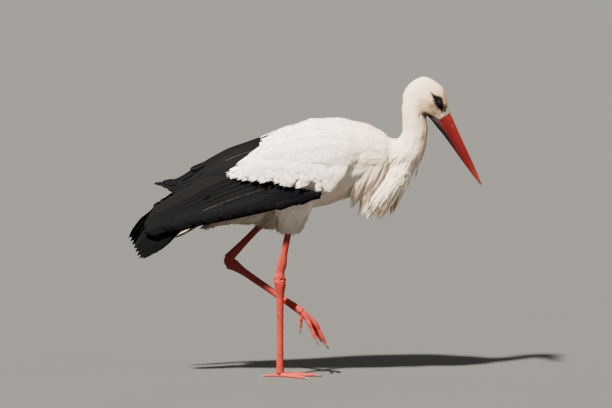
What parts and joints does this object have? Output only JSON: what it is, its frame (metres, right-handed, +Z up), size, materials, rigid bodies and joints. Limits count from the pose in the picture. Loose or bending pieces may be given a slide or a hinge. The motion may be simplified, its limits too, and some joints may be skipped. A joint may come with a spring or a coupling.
{
  "type": "white stork",
  "caption": "Life-size standing white stork on one leg, other foot lifted: white body, black flight feathers, red bill and legs.",
  "frame": {"origin": "on the floor, under the ball of the standing right foot", "axes": "+X the way the bird faces, +Y to its left, +Z up"},
  "size_m": [0.8127, 0.1932, 0.6946],
  "materials": {
    "white_plumage": "soft layered white contour feathers, cream on head and neck",
    "feathered_limb": "white coverts over the muscle and bone of wing and thigh",
    "flight_feather": "black vanes with a faint purple gloss and brown-grey edges",
    "bill_horn": "satin deep red horn, darker underneath",
    "leg_skin": "scaly orange-red skin",
    "eye": "wet dark brown eye",
    "claw_horn": "dull dark horn"
  },
  "bodies": {
    "root": {"bill_lower": "bill_horn", "bill_upper": "bill_horn", "breast_plumes": "white_plumage", "claw_hind_left": "claw_horn", "claw_hind_right": "claw_horn", "claw_inner_left": "claw_horn", "claw_inner_right": "claw_horn", "claw_middle_left": "claw_horn", "claw_middle_right": "claw_horn", "claw_outer_left": "claw_horn", "claw_outer_right": "claw_horn", "eye_left": "eye", "eye_right": "eye", "head": "white_plumage", "neck_lower": "white_plumage", "neck_upper": "white_plumage", "primaries_left": "flight_feather", "primaries_right": "flight_feather", "secondaries_left": "flight_feather", "secondaries_right": "flight_feather", "shank_left": "leg_skin", "shank_right": "leg_skin", "tail": "white_plumage", "tarsus_left": "leg_skin", "tarsus_right": "leg_skin", "tertials_left": "flight_feather", "tertials_right": "flight_feather", "thigh_left": "feathered_limb", "thigh_right": "feathered_limb", "toe_hind_left": "leg_skin", "toe_hind_right": "leg_skin", "toe_inner_left": "leg_skin", "toe_inner_right": "leg_skin", "toe_middle_left": "leg_skin", "toe_middle_right": "leg_skin", "toe_outer_left": "leg_skin", "toe_outer_right": "leg_skin", "trunk": "white_plumage", "wing_left": "feathered_limb", "wing_right": "feathered_limb"}
  },
  "joints": []
}
